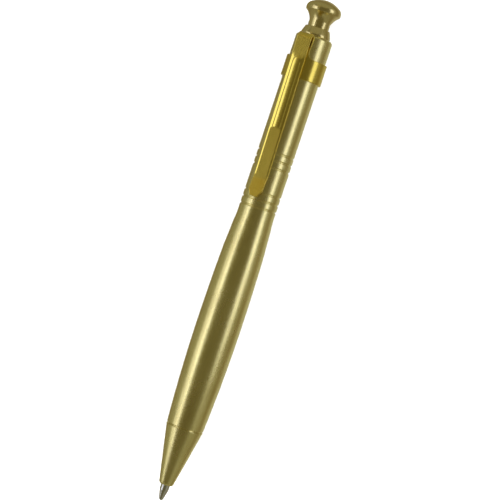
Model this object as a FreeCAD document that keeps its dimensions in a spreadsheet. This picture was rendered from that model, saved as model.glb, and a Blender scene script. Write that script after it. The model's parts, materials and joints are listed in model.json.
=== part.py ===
"""A retractable ballpoint pen of turned brass, with a spring clip, a push mechanism and a refill.

The pen lies along X with its writing point out, the point towards -X and the push knob
towards +X, and the clip on top (+Z). The origin is where the pen is held when it is clipped
on: on the pen's axis, level with the front edge of the clip band, where the edge that it is
pushed onto stops. Every piece is drawn about the pen's own axis, with "station" meaning the
distance from the end of the writing ball, and is then placed as a whole. Lengths are
millimetres.
"""

import FreeCAD, Part
import math
import os
import Sketcher

os.makedirs("parts", exist_ok=True)
doc = FreeCAD.newDocument("ballpoint_pen")

# ---------------------------------------------------------------- driving sizes

SIZES = {
    # overall
    "pen_length": 134.8,
    # barrel
    "seam_station": 20.05,
    "seam_dia": 9.75,
    "belly_station": 47.3,
    "belly_dia": 11.5,
    "flare_front_station": 68.0,
    "flare_front_dia": 10.82,
    "flare_rear_station": 76.4,
    "flare_rear_dia": 9.76,
    "straight_station": 79.0,
    "barrel_dia": 9.6,
    "barrel_end_station": 125.1,
    "barrel_bore_dia": 7.8,
    "edge_chamfer": 0.25,
    "shoulder_height": 0.55,
    "lip_station": 123.5,
    "lip_bore_dia": 6.6,
    "front_bore_dia": 8.4,
    "front_bore_end": 27.6,
    "flare_foot_radius": 22.0,
    # decorative grooves
    "groove_pitch": 1.88,
    "groove_width": 0.5,
    "groove_depth": 0.22,
    "upper_grooves_station": 90.1,
    "lower_grooves_station": 79.45,
    "groove_count": 3,
    # nose cone and its threaded bush
    "mouth_station": 4.35,
    "mouth_bore_dia": 2.5,
    "mouth_face_dia": 3.15,
    "mouth_dia": 3.92,
    "mouth_round": 0.75,
    "mouth_round_length": 0.56,
    "spring_seat_station": 10.0,
    "spring_bore_dia": 4.7,
    "refill_bore_station": 15.2,
    "refill_bore_lead": 0.8,
    "refill_bore_dia": 6.3,
    "spigot_dia": 7.3,
    "spigot_end": 26.7,
    "thread_relief_dia": 6.9,
    "thread_relief_length": 1.1,
    "thread_pitch": 0.75,
    "thread_width": 0.6,
    "thread_depth": 0.22,
    "thread_turns": 7,
    "bush_bore_dia": 7.4,
    "bush_setback": 0.35,
    # collar under the knob
    "collar_dia": 7.75,
    "collar_shoulder_station": 125.6,
    "collar_top_station": 127.4,
    "collar_top_dia": 6.5,
    "stem_bore_dia": 5.65,
    "collar_tail_dia": 6.36,
    "collar_tail_end": 117.75,
    # guide sleeve with its four ribs
    "guide_dia": 7.7,
    "guide_bore_dia": 6.4,
    "guide_front": 100.5,
    "rib_front": 109.1,
    "rib_rear": 116.9,
    "rib_tip_dia": 4.9,
    "rib_width": 1.3,
    "rib_count": 4,
    "ring_station": 102.1,
    "ring_wire_dia": 0.7,
    "ring_dia": 6.9,
    "ring_span_deg": 325,
    # cam rotor
    "rotor_front": 98.5,
    "rotor_stem_dia": 4.4,
    "spline_front": 103.9,
    "spline_rear": 109.0,
    "rotor_rear": 109.9,
    "core_dia": 4.6,
    "spline_dia": 6.0,
    "spline_width": 1.6,
    "spline_count": 4,
    "rotor_bore_dia": 2.4,
    "rotor_bore_depth": 5.2,
    "tooth_count": 8,
    "tooth_width": 0.8,
    "tooth_root_width": 0.04,
    "tooth_depth": 0.75,
    # plunger
    "plunger_gap": 0.03,
    "plunger_pin_dia": 2.2,
    "plunger_pin_length": 3.4,
    "plunger_spline_front": 110.9,
    "plunger_spline_rear": 112.4,
    "plunger_shoulder": 118.5,
    "plunger_tail_dia": 3.4,
    "plunger_tail_end": 126.8,
    # knob
    "neck_dia": 5.55,
    "neck_end": 129.0,
    "rim_station": 132.0,
    "rim_under": 0.55,
    "rim_under_dia": 8.96,
    "rim_round": 1.7,
    "dome_height": 1.35,
    "dome_dia": 7.95,
    "flare_radius": 4.2,
    "stem_hole_cone": 0.6,
    # refill
    "ball_dia": 1.0,
    "point_dia": 2.4,
    "point_lip_station": 0.3,
    "point_lip_length": 0.15,
    "point_lip_dia": 1.12,
    "point_mouth_dia": 0.93,
    "point_cone_end": 2.9,
    "point_rear": 13.0,
    "point_tang_dia": 1.8,
    "point_tang_end": 16.6,
    "ink_way_dia": 0.7,
    "ball_room_dia": 1.03,
    "ball_room_end": 1.06,
    "nose_dia": 3.4,
    "tube_front": 17.0,
    "tube_dia": 5.9,
    "tube_bore_dia": 5.1,
    "tube_rear": 94.5,
    "tube_edge": 0.4,
    "adapter_end": 23.0,
    "adapter_bore_dia": 1.1,
    "ink_end": 78.0,
    "ink_gap": 0.05,
    "crown_front": 90.5,
    "crown_dia": 5.0,
    "crown_end": 98.5,
    "crown_edge": 0.3,
    "crown_notch_width": 1.0,
    "crown_notch_depth": 1.6,
    "crown_notch_count": 4,
    "crown_bore_dia": 2.2,
    # return spring
    "spring_wire_dia": 0.4,
    "spring_mean_dia": 4.1,
    "spring_turns": 8,
    # clip
    "clip_thickness": 0.5,
    "band_front": 113.5,
    "band_rear": 118.9,
    "band_clearance": 0.02,
    "band_edge": 0.14,
    "tongue_root_half": 3.1,
    "tongue_half": 1.75,
    "tongue_fillet_length": 1.7,
    "tongue_fillet_radius": 1.8,
    "tongue_sector_deg": 80,
    "tongue_end": 123.5,
    "fold_station": 123.62,
    "fold_outer_radius": 1.28,
    "leaf_width": 3.7,
    "leaf_drop_deg": 2.9,
    "leaf_bend_station": 87.0,
    "lip_tip_station": 81.8,
    "lip_rise_deg": 10.0,
    "lip_cut": 0.95,
    "lip_cut_length": 1.7,
    "rib_bead_front": 99.7,
    "rib_bead_rear": 118.0,
    "rib_bead_width": 2.3,
    "rib_bead_height": 0.26,
    "rib_bead_end_radius": 1.32,
    "rib_bead_edge": 0.2,
}

# how far a cutting outline runs on past the surface that it cuts, and how deep a cut goes that
# leaves the piece altogether
PROUD = 0.4
THROUGH = 12.0

sheet = doc.addObject("Spreadsheet::Sheet", "Sizes")
for row, (alias, number) in enumerate(SIZES.items(), start=1):
    sheet.set(f"A{row}", alias)
    sheet.set(f"B{row}", str(number))
    sheet.setAlias(f"B{row}", alias)
doc.recompute()


class Size:
    """A length together with the spreadsheet expression that drives it."""

    def __init__(self, value, text=None):
        self.value = float(value)
        self.text = text or repr(self.value)

    def joined(self, other, sign, value):
        return Size(value, f"({self.text} {sign} {as_size(other).text})")

    def __add__(self, other):
        return self.joined(other, "+", self.value + as_size(other).value)

    def __sub__(self, other):
        return self.joined(other, "-", self.value - as_size(other).value)

    def __mul__(self, other):
        return self.joined(other, "*", self.value * as_size(other).value)

    def __truediv__(self, other):
        return self.joined(other, "/", self.value / as_size(other).value)

    def __neg__(self):
        return self * -1

    def tangent(self):
        """The tangent of an angle in degrees."""
        return Size(math.tan(math.radians(self.value)), f"tan({self.text} * 1 deg)")

    def cosine(self):
        """The cosine of an angle in degrees."""
        return Size(math.cos(math.radians(self.value)), f"cos({self.text} * 1 deg)")

    def sine(self):
        """The sine of an angle in degrees."""
        return Size(math.sin(math.radians(self.value)), f"sin({self.text} * 1 deg)")


def as_size(number):
    return number if isinstance(number, Size) else Size(number)


def size(alias):
    return Size(sheet.get(alias), f"Sizes.{alias}")


def radius(alias):
    return size(alias) / 2


# ---------------------------------------------------------------- drawing helpers


def origin_feature(body, role):
    return next(f for f in body.Origin.OriginFeatures if f.Role == role)


def new_body(node):
    """A piece's body, moved so that x = 0 is at the front edge of the clip band."""
    body = doc.addObject("PartDesign::Body", node)
    body.Label = node
    body.setExpression("Placement.Base.x", "-Sizes.band_front")
    return body


def arc_between(start, end, arc_radius, side):
    """The short arc from start to end; side is 1 where it bulges to the left of that direction."""
    across = end - start
    middle = (start + end) * 0.5
    rise = math.sqrt(max(arc_radius**2 - (across.Length / 2) ** 2, 0))
    left = FreeCAD.Vector(-across.y, across.x, 0).normalize()
    centre = middle - left * (rise * side)
    first = math.atan2(start.y - centre.y, start.x - centre.x)
    last = math.atan2(end.y - centre.y, end.x - centre.x)
    circle = Part.Circle(centre, FreeCAD.Vector(0, 0, 1), arc_radius)
    if side > 0:
        return Part.ArcOfCircle(circle, last, first), 2, 1
    return Part.ArcOfCircle(circle, first, last), 1, 2


def outline(sketch, points):
    """A closed outline. Each point is (x, y), or (x, y, radius, side) where an arc leads on from it."""
    count = len(points)
    places = [FreeCAD.Vector(as_size(p[0]).value, as_size(p[1]).value, 0) for p in points]
    ends = []
    for n, point in enumerate(points):
        start = places[n]
        end = places[(n + 1) % count]
        if len(point) == 4:
            curve, first, last = arc_between(start, end, as_size(point[2]).value, point[3])
        else:
            curve, first, last = Part.LineSegment(start, end), 1, 2
        ends.append((sketch.addGeometry(curve), first, last))
    for n, point in enumerate(points):
        edge, first, last = ends[n]
        following, next_first, _ = ends[(n + 1) % count]
        sketch.addConstraint(Sketcher.Constraint("Coincident", edge, last, following, next_first))
        bind(sketch, Sketcher.Constraint("DistanceX", -1, 1, edge, first, places[n].x), point[0])
        bind(sketch, Sketcher.Constraint("DistanceY", -1, 1, edge, first, places[n].y), point[1])
        if len(point) == 4:
            arc_radius = as_size(point[2])
            bind(sketch, Sketcher.Constraint("Radius", edge, arc_radius.value), arc_radius)


def bind(sketch, constraint, driving):
    """Adds a constraint and ties its value to the spreadsheet."""
    number = sketch.addConstraint(constraint)
    if isinstance(driving, Size) and "Sizes." in driving.text:
        sketch.setExpression(f"Constraints[{number}]", driving.text)


def new_sketch(body, name, plane="XY_Plane"):
    sketch = body.newObject("Sketcher::SketchObject", name)
    sketch.AttachmentSupport = [(origin_feature(body, plane), "")]
    sketch.MapMode = "FlatFace"
    return sketch


def drawn(body, name, points, plane="XY_Plane"):
    sketch = new_sketch(body, name, plane)
    outline(sketch, points)
    return sketch


def turned(body, points, name="section"):
    """The outline (station, radius) turned about the pen's axis."""
    sketch = drawn(body, name, points)
    solid = body.newObject("PartDesign::Revolution", "turning")
    solid.Profile = sketch
    solid.ReferenceAxis = (sketch, ["H_Axis"])
    solid.Angle = 360
    doc.recompute()
    return solid


def rings(body, name, station, pitch, count, width, depth, surface_radius):
    """A row of V grooves round an outside surface, spaced towards +X from the first station."""
    widened = width * ((depth + PROUD) / depth)
    sketch = drawn(
        body,
        name,
        [
            (station - widened / 2, surface_radius + PROUD),
            (station, surface_radius - depth),
            (station + widened / 2, surface_radius + PROUD),
        ],
    )
    before = body.Shape.Volume
    groove = body.newObject("PartDesign::Groove", f"{name}_groove")
    groove.Profile = sketch
    groove.ReferenceAxis = (sketch, ["H_Axis"])
    groove.Angle = 360
    doc.recompute()
    row_of = body.newObject("PartDesign::LinearPattern", f"{name}_row")
    row_of.Originals = [groove]
    row_of.Direction = (origin_feature(body, "X_Axis"), [""])
    row_of.setExpression("Length", (pitch * (count - 1)).text)
    row_of.setExpression("Occurrences", count.text)
    body.Tip = row_of
    doc.recompute()
    if not body.Shape.Volume < before:
        raise RuntimeError(f"{body.Label}: {name} cut nothing")


def bar(body, name, front, rear, low, high, width):
    """A straight bar along the pen, from low to high above the axis, fused to the body."""
    sketch = drawn(body, name, [(front, low), (rear, low), (rear, high), (front, high)])
    pad = body.newObject("PartDesign::Pad", f"{name}_pad")
    pad.Profile = sketch
    pad.SideType = "Symmetric"
    pad.setExpression("Length", width.text)
    doc.recompute()
    return pad


def around(body, feature, count):
    """Repeats a feature evenly about the pen's axis."""
    pattern = body.newObject("PartDesign::PolarPattern", f"{feature.Name}_round")
    pattern.Originals = [feature]
    pattern.Axis = (origin_feature(body, "X_Axis"), [""])
    pattern.Angle = 360
    pattern.setExpression("Occurrences", count.text)
    body.Tip = pattern
    doc.recompute()


def pocket(body, name, sketch, reverse=False):
    """Cuts a sketch's outline out of a piece, from the sketch's plane outwards."""
    before = body.Shape.Volume
    cut = body.newObject("PartDesign::Pocket", f"{name}_cut")
    cut.Profile = sketch
    cut.Type = "Length"
    cut.Length = THROUGH
    cut.Reversed = reverse
    doc.recompute()
    if not body.Shape.Volume < before:
        raise RuntimeError(f"{body.Label}: {name} cut nothing")
    return cut


def end_notches(body, name, face, depth, width, floor_width, count):
    """Notches across an end face, from the axis outwards. A negative depth cuts towards -X."""
    half = width / 2
    floor_half = floor_width / 2
    far = face + depth
    beyond = face - depth
    sketch = drawn(
        body,
        name,
        [
            (beyond, -half),
            (face, -half),
            (far, -floor_half),
            (far, floor_half),
            (face, half),
            (beyond, half),
        ],
        plane="XZ_Plane",
    )
    around(body, pocket(body, name, sketch), count)


# ---------------------------------------------------------------- casing


def make_barrel():
    """The turned barrel: a long belly towards the point, a straight rear, and a lip at its top."""
    body = new_body("barrel")
    belly = radius("belly_dia")
    seam = radius("seam_dia")
    flare = radius("flare_front_dia")
    front_run = size("belly_station") - size("seam_station")
    rear_run = size("flare_front_station") - size("belly_station")
    front_drop = belly - seam
    rear_drop = belly - flare
    front_arc = (front_run * front_run + front_drop * front_drop) / (front_drop * 2)
    rear_arc = (rear_run * rear_run + rear_drop * rear_drop) / (rear_drop * 2)
    chamfer = size("edge_chamfer")
    turned(
        body,
        [
            (size("seam_station"), radius("front_bore_dia")),
            (size("seam_station"), seam - chamfer),
            (size("seam_station") + chamfer, seam, front_arc, 1),
            (size("belly_station"), belly, rear_arc, 1),
            (size("flare_front_station"), flare),
            (size("flare_rear_station"), radius("flare_rear_dia"), size("flare_foot_radius"), -1),
            (size("straight_station"), radius("barrel_dia")),
            (size("barrel_end_station") - size("shoulder_height"), radius("barrel_dia")),
            (size("barrel_end_station"), radius("barrel_dia") - size("shoulder_height")),
            (size("barrel_end_station"), radius("lip_bore_dia")),
            (size("lip_station"), radius("lip_bore_dia")),
            (size("lip_station"), radius("barrel_bore_dia")),
            (size("front_bore_end"), radius("barrel_bore_dia")),
            (size("front_bore_end"), radius("front_bore_dia")),
        ],
    )
    for name in ("lower_grooves", "upper_grooves"):
        rings(
            body,
            name,
            size(f"{name}_station"),
            size("groove_pitch"),
            size("groove_count"),
            size("groove_width"),
            size("groove_depth"),
            radius("barrel_dia"),
        )


def make_thread_bush():
    """The threaded bush pressed into the front of the barrel, which the nose cone screws into."""
    front = size("seam_station") + size("bush_setback")
    lead = size("edge_chamfer")
    body = new_body("thread_bush")
    turned(
        body,
        [
            (front, radius("bush_bore_dia") + lead),
            (front, radius("front_bore_dia")),
            (size("front_bore_end"), radius("front_bore_dia")),
            (size("front_bore_end"), radius("bush_bore_dia")),
            (front + lead, radius("bush_bore_dia")),
        ],
    )


def make_nose_cone():
    """The cone with the hole for the writing point, a seat for the spring and a threaded spigot."""
    seam = size("seam_station")
    chamfer = size("edge_chamfer")
    relief_end = seam + size("thread_relief_length")
    body = new_body("nose_cone")
    turned(
        body,
        [
            (size("mouth_station"), radius("mouth_bore_dia")),
            (size("mouth_station"), radius("mouth_face_dia"), size("mouth_round"), 1),
            (size("mouth_station") + size("mouth_round_length"), radius("mouth_dia")),
            (seam - chamfer, radius("seam_dia")),
            (seam, radius("seam_dia") - chamfer),
            (seam, radius("thread_relief_dia")),
            (relief_end, radius("thread_relief_dia")),
            (relief_end, radius("spigot_dia")),
            (size("spigot_end") - chamfer, radius("spigot_dia")),
            (size("spigot_end"), radius("spigot_dia") - chamfer),
            (size("spigot_end"), radius("refill_bore_dia")),
            (size("refill_bore_station"), radius("refill_bore_dia")),
            (size("refill_bore_station") - size("refill_bore_lead"), radius("spring_bore_dia")),
            (size("spring_seat_station"), radius("spring_bore_dia")),
            (size("spring_seat_station"), radius("mouth_bore_dia")),
        ],
    )
    rings(
        body,
        "thread",
        relief_end + size("thread_pitch") / 2,
        size("thread_pitch"),
        size("thread_turns"),
        size("thread_width"),
        size("thread_depth"),
        radius("spigot_dia"),
    )


def make_collar():
    """The collar that the knob's stem slides in; its threaded tail clamps the barrel's lip."""
    foot = size("barrel_end_station")
    top = size("collar_top_station")
    tail = size("collar_tail_end")
    lead = size("edge_chamfer")
    body = new_body("collar")
    turned(
        body,
        [
            (tail, radius("stem_bore_dia")),
            (tail, radius("collar_tail_dia") - lead),
            (tail + lead, radius("collar_tail_dia")),
            (foot, radius("collar_tail_dia")),
            (foot, radius("collar_dia")),
            (size("collar_shoulder_station"), radius("collar_dia")),
            (top, radius("collar_top_dia")),
            (top, radius("stem_bore_dia")),
        ],
    )


# ---------------------------------------------------------------- push mechanism


def make_guide_sleeve():
    """The sleeve whose four ribs guide the plunger and hold the rotor down when they are out of line."""
    front = size("guide_front")
    rear = size("lip_station")
    lead = size("edge_chamfer")
    ring_half = size("ring_wire_dia") / 2
    ring_low = size("ring_station") - ring_half
    ring_high = size("ring_station") + ring_half
    body = new_body("guide_sleeve")
    turned(
        body,
        [
            (front, radius("guide_bore_dia")),
            (front, radius("guide_dia") - lead),
            (front + lead, radius("guide_dia")),
            (rear, radius("guide_dia")),
            (rear, radius("guide_bore_dia")),
            (ring_high, radius("guide_bore_dia")),
            (ring_high, radius("ring_dia")),
            (ring_low, radius("ring_dia")),
            (ring_low, radius("guide_bore_dia")),
        ],
    )
    wall_middle = (radius("guide_dia") + radius("guide_bore_dia")) / 2
    tip = radius("rib_tip_dia")
    rib = bar(body, "rib", size("rib_front"), size("rib_rear"), tip, wall_middle, size("rib_width"))
    around(body, rib, size("rib_count"))


def make_retaining_ring():
    """The sprung wire ring that keeps the rotor in the sleeve when the refill is out."""
    body = new_body("retaining_ring")
    sketch = new_sketch(body, "wire")
    wire = size("ring_wire_dia") / 2
    centre_radius = radius("ring_dia") - wire
    middle = FreeCAD.Vector(size("ring_station").value, centre_radius.value, 0)
    sketch.addGeometry(Part.Circle(middle, FreeCAD.Vector(0, 0, 1), wire.value))
    bind(sketch, Sketcher.Constraint("DistanceX", -1, 1, 0, 3, middle.x), size("ring_station"))
    bind(sketch, Sketcher.Constraint("DistanceY", -1, 1, 0, 3, middle.y), centre_radius)
    bind(sketch, Sketcher.Constraint("Radius", 0, wire.value), wire)
    ring = body.newObject("PartDesign::Revolution", "ring")
    ring.Profile = sketch
    ring.ReferenceAxis = (sketch, ["H_Axis"])
    ring.setExpression("Angle", "Sizes.ring_span_deg")
    doc.recompute()


def between_ribs(body):
    """Turns a piece about the pen's axis so that its splines lie between the sleeve's ribs."""
    turn = 180.0 / SIZES["spline_count"]
    body.Placement.Rotation = FreeCAD.Rotation(FreeCAD.Vector(1, 0, 0), turn)


def make_cam_rotor():
    """The rotor: a stem that bears on the refill, four splines, and teeth that face the plunger."""
    front = size("rotor_front")
    rear = size("rotor_rear")
    bore_floor = rear - size("rotor_bore_depth")
    body = new_body("cam_rotor")
    turned(
        body,
        [
            (front, 0),
            (front, radius("rotor_stem_dia")),
            (size("spline_front"), radius("rotor_stem_dia")),
            (size("spline_front"), radius("core_dia")),
            (rear, radius("core_dia")),
            (rear, radius("rotor_bore_dia")),
            (bore_floor, radius("rotor_bore_dia")),
            (bore_floor, 0),
        ],
    )
    spline = bar(
        body,
        "spline",
        size("spline_front"),
        size("spline_rear"),
        (radius("rotor_bore_dia") + radius("core_dia")) / 2,
        radius("spline_dia"),
        size("spline_width"),
    )
    around(body, spline, size("spline_count"))
    between_ribs(body)
    end_notches(
        body,
        "teeth",
        rear,
        -size("tooth_depth"),
        size("tooth_width"),
        size("tooth_root_width"),
        size("tooth_count"),
    )


def make_plunger():
    """The plunger under the knob, with splines in the sleeve's slots and teeth that turn the rotor."""
    front = size("rotor_rear") + size("plunger_gap")
    shoulder = size("plunger_shoulder")
    body = new_body("plunger")
    turned(
        body,
        [
            (front - size("plunger_pin_length"), 0),
            (front - size("plunger_pin_length"), radius("plunger_pin_dia")),
            (front, radius("plunger_pin_dia")),
            (front, radius("core_dia")),
            (shoulder, radius("core_dia")),
            (shoulder, radius("plunger_tail_dia")),
            (size("plunger_tail_end"), radius("plunger_tail_dia")),
            (size("plunger_tail_end"), 0),
        ],
    )
    spline = bar(
        body,
        "spline",
        size("plunger_spline_front"),
        size("plunger_spline_rear"),
        (radius("plunger_pin_dia") + radius("core_dia")) / 2,
        radius("spline_dia"),
        size("spline_width"),
    )
    around(body, spline, size("spline_count"))
    between_ribs(body)


def make_push_knob():
    """The trumpet-shaped knob: a low dome, a rounded rim, and a hollow stem pressed on the plunger."""
    neck = radius("neck_dia")
    top = size("pen_length")
    height = size("dome_height")
    dome = radius("dome_dia")
    dome_arc = (dome * dome + height * height) / (height * 2)
    under_rim = size("rim_station") - size("rim_under")
    body = new_body("push_knob")
    turned(
        body,
        [
            (size("plunger_shoulder"), radius("plunger_tail_dia")),
            (size("plunger_shoulder"), neck),
            (size("neck_end"), neck, size("flare_radius"), -1),
            (under_rim, radius("rim_under_dia"), size("rim_round"), 1),
            (top - height, dome, dome_arc, 1),
            (top, 0),
            (size("plunger_tail_end") + size("stem_hole_cone"), 0),
            (size("plunger_tail_end"), radius("plunger_tail_dia")),
        ],
    )


# ---------------------------------------------------------------- refill


def make_refill_tube():
    """The refill's metal tube, the size of the common 98.5 mm refill."""
    edge = size("tube_edge")
    body = new_body("refill_tube")
    turned(
        body,
        [
            (size("tube_front"), radius("tube_bore_dia")),
            (size("tube_front"), radius("tube_dia") - edge),
            (size("tube_front") + edge, radius("tube_dia")),
            (size("tube_rear"), radius("tube_dia")),
            (size("tube_rear"), radius("tube_bore_dia")),
        ],
    )


def make_refill_adapter():
    """The brass plug that joins the writing point to the tube; the spring bears on its shoulder."""
    body = new_body("refill_adapter")
    turned(
        body,
        [
            (size("point_rear"), radius("point_tang_dia")),
            (size("point_rear"), radius("nose_dia")),
            (size("tube_front"), radius("nose_dia")),
            (size("tube_front"), radius("tube_bore_dia")),
            (size("adapter_end"), radius("tube_bore_dia")),
            (size("adapter_end"), radius("adapter_bore_dia")),
            (size("point_tang_end"), radius("adapter_bore_dia")),
            (size("point_tang_end"), radius("point_tang_dia")),
        ],
    )


def make_refill_point():
    """The nickel silver point: a cone with the ball's socket, a straight part and a tang."""
    lip = size("point_lip_station")
    body = new_body("refill_point")
    turned(
        body,
        [
            (lip, radius("point_mouth_dia")),
            (lip, radius("point_lip_dia")),
            (size("point_cone_end"), radius("point_dia")),
            (size("point_rear"), radius("point_dia")),
            (size("point_rear"), radius("point_tang_dia")),
            (size("point_tang_end"), radius("point_tang_dia")),
            (size("point_tang_end"), radius("ink_way_dia")),
            (size("ball_room_end"), radius("ink_way_dia")),
            (size("ball_room_end"), radius("ball_room_dia")),
            (lip + size("point_lip_length"), radius("ball_room_dia")),
        ],
    )


def make_writing_ball():
    """The carbide ball that rolls in the point."""
    ball = doc.addObject("Part::Sphere", "writing_ball")
    ball.Label = "writing_ball"
    ball.setExpression("Radius", "Sizes.ball_dia / 2")
    ball.setExpression("Placement.Base.x", "Sizes.ball_dia / 2 - Sizes.band_front")


def make_ink_column():
    """The ink paste that fills the tube behind the adapter."""
    ink = doc.addObject("Part::Cylinder", "ink_column")
    ink.Label = "ink_column"
    ink.setExpression("Radius", "Sizes.tube_bore_dia / 2 - Sizes.ink_gap")
    ink.setExpression("Height", "Sizes.ink_end - Sizes.adapter_end - Sizes.ink_gap")
    along_x = FreeCAD.Rotation(FreeCAD.Vector(0, 1, 0), 90)
    ink.Placement = FreeCAD.Placement(FreeCAD.Vector(0, 0, 0), along_x)
    start = "Sizes.adapter_end + Sizes.ink_gap"
    ink.setExpression("Placement.Base.x", f"{start} - Sizes.band_front")


def make_refill_crown():
    """The plastic stopper with its notched end, which the rotor's stem presses."""
    crown = radius("crown_dia")
    edge = size("crown_edge")
    body = new_body("refill_crown")
    turned(
        body,
        [
            (size("crown_front"), radius("crown_bore_dia")),
            (size("crown_front"), radius("tube_bore_dia")),
            (size("tube_rear"), radius("tube_bore_dia")),
            (size("tube_rear"), crown),
            (size("crown_end") - edge, crown),
            (size("crown_end"), crown - edge),
            (size("crown_end"), radius("crown_bore_dia")),
        ],
    )
    end_notches(
        body,
        "notch",
        size("crown_end"),
        -size("crown_notch_depth"),
        size("crown_notch_width"),
        size("crown_notch_width"),
        size("crown_notch_count"),
    )


def make_return_spring():
    """The coil spring between the nose cone's seat and the refill's shoulder."""
    wire = size("spring_wire_dia") / 2
    coil = radius("spring_mean_dia")
    start = size("spring_seat_station") + wire
    run = size("tube_front") - size("spring_seat_station") - size("spring_wire_dia")
    body = new_body("return_spring")
    sketch = new_sketch(body, "wire")
    middle = FreeCAD.Vector(start.value, coil.value, 0)
    sketch.addGeometry(Part.Circle(middle, FreeCAD.Vector(0, 0, 1), wire.value))
    bind(sketch, Sketcher.Constraint("DistanceX", -1, 1, 0, 3, middle.x), start)
    bind(sketch, Sketcher.Constraint("DistanceY", -1, 1, 0, 3, middle.y), coil)
    bind(sketch, Sketcher.Constraint("Radius", 0, wire.value), wire)
    spring = body.newObject("PartDesign::AdditiveHelix", "coil")
    spring.Profile = sketch
    spring.ReferenceAxis = (sketch, ["H_Axis"])
    spring.Mode = "height-turns-angle"
    spring.setExpression("Height", run.text)
    spring.setExpression("Turns", "Sizes.spring_turns")
    spring.Angle = 0
    doc.recompute()


# ---------------------------------------------------------------- clip


def make_clip_band():
    """The sleeve of the clip round the barrel, and the tongue that rises from it to the fold."""
    inner = radius("barrel_dia") + size("band_clearance")
    outer = inner + size("clip_thickness")
    edge = size("band_edge")
    front = size("band_front")
    rear = size("band_rear")
    body = new_body("clip_band")
    turned(
        body,
        [
            (front, inner),
            (front, outer - edge),
            (front + edge, outer),
            (rear - edge, outer),
            (rear, outer - edge),
            (rear, inner),
        ],
    )
    root = rear - size("clip_thickness")
    tongue_sketch = drawn(
        body,
        "tongue",
        [(root, inner), (root, outer), (size("tongue_end"), outer), (size("tongue_end"), inner)],
        plane="XZ_Plane",
    )
    tongue = body.newObject("PartDesign::Revolution", "tongue_sector")
    tongue.Profile = tongue_sketch
    tongue.ReferenceAxis = (tongue_sketch, ["H_Axis"])
    tongue.Midplane = True
    tongue.setExpression("Angle", "Sizes.tongue_sector_deg")
    doc.recompute()
    fillet_end = rear + size("tongue_fillet_length")
    beyond = size("tongue_end") + PROUD
    aside = radius("barrel_dia")
    for name, side in (("left", 1.0), ("right", -1.0)):
        waist = size("tongue_half") * side
        sketch = drawn(
            body,
            f"{name}_waist",
            [
                (rear, size("tongue_root_half") * side, size("tongue_fillet_radius"), -side),
                (fillet_end, waist),
                (beyond, waist),
                (beyond, aside * side),
                (rear, aside * side),
            ],
        )
        pocket(body, f"{name}_waist", sketch, reverse=True)


def make_clip_leaf():
    """The leaf of the clip: a hairpin fold, a long sloping strip with a bead, and a turned-out lip."""
    thickness = size("clip_thickness")
    fold = size("fold_station")
    outer = size("fold_outer_radius")
    inner = outer - thickness
    low = radius("barrel_dia") + size("band_clearance")
    centre = low + outer
    drop = size("leaf_drop_deg")
    rise = size("lip_rise_deg")
    top_outer_x = fold - outer * drop.sine()
    top_outer_z = centre + outer * drop.cosine()
    top_inner_x = fold - inner * drop.sine()
    top_inner_z = centre + inner * drop.cosine()
    bend = size("leaf_bend_station")
    tip = size("lip_tip_station")
    bend_outer_z = top_outer_z - (top_outer_x - bend) * drop.tangent()
    bend_inner_z = top_inner_z - (top_inner_x - bend) * drop.tangent()
    tip_outer_z = bend_outer_z + (bend - tip) * rise.tangent()
    tip_inner_z = bend_inner_z + (bend - tip) * rise.tangent()
    body = new_body("clip_leaf")
    apex = fold + outer
    apex_inner = fold + inner
    strip_sketch = drawn(
        body,
        "strip",
        [
            (fold, low, outer, -1),
            (apex, centre, outer, -1),
            (top_outer_x, top_outer_z),
            (bend, bend_outer_z),
            (tip, tip_outer_z),
            (tip, tip_inner_z),
            (bend, bend_inner_z),
            (top_inner_x, top_inner_z, inner, 1),
            (apex_inner, centre, inner, 1),
            (fold, low + thickness),
        ],
        plane="XZ_Plane",
    )
    strip = body.newObject("PartDesign::Pad", "strip_pad")
    strip.Profile = strip_sketch
    strip.SideType = "Symmetric"
    strip.setExpression("Length", "Sizes.leaf_width")
    doc.recompute()

    half = size("leaf_width") / 2
    corner = size("lip_cut")
    corner_end = tip + size("lip_cut_length")
    for name, side in (("left", 1.0), ("right", -1.0)):
        sketch = drawn(
            body,
            f"{name}_corner",
            [
                (tip - PROUD, (half - corner) * side),
                (tip, (half - corner) * side),
                (corner_end, half * side),
                (corner_end, (half + PROUD) * side),
                (tip - PROUD, (half + PROUD) * side),
            ],
        )
        pocket(body, f"{name}_corner", sketch, reverse=True)

    bead_front = size("rib_bead_front")
    bead_rear = size("rib_bead_rear")
    bead_half = size("rib_bead_width") / 2
    sketch = drawn(
        body,
        "bead",
        [
            (bead_front - fold, -bead_half),
            (bead_rear - fold, -bead_half, size("rib_bead_end_radius"), -1),
            (bead_rear - fold, bead_half),
            (bead_front - fold, bead_half),
        ],
    )
    tilt = FreeCAD.Rotation(FreeCAD.Vector(0, 1, 0), -drop.value)
    sketch.AttachmentOffset = FreeCAD.Placement(FreeCAD.Vector(0, 0, 0), tilt)
    sketch.setExpression("AttachmentOffset.Base.x", top_outer_x.text)
    sketch.setExpression("AttachmentOffset.Base.z", top_outer_z.text)
    pad = body.newObject("PartDesign::Pad", "bead_pad")
    pad.Profile = sketch
    pad.setExpression("Length", "Sizes.rib_bead_height")
    doc.recompute()
    top_edges = [
        f"Edge{n}"
        for n, edge in enumerate(pad.Shape.Edges, start=1)
        if is_bead_top(edge, top_outer_x.value, top_outer_z.value, drop.value)
    ]
    rounding = body.newObject("PartDesign::Fillet", "bead_rounding")
    rounding.Base = (pad, top_edges)
    rounding.setExpression("Radius", "Sizes.rib_bead_edge")
    doc.recompute()


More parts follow.
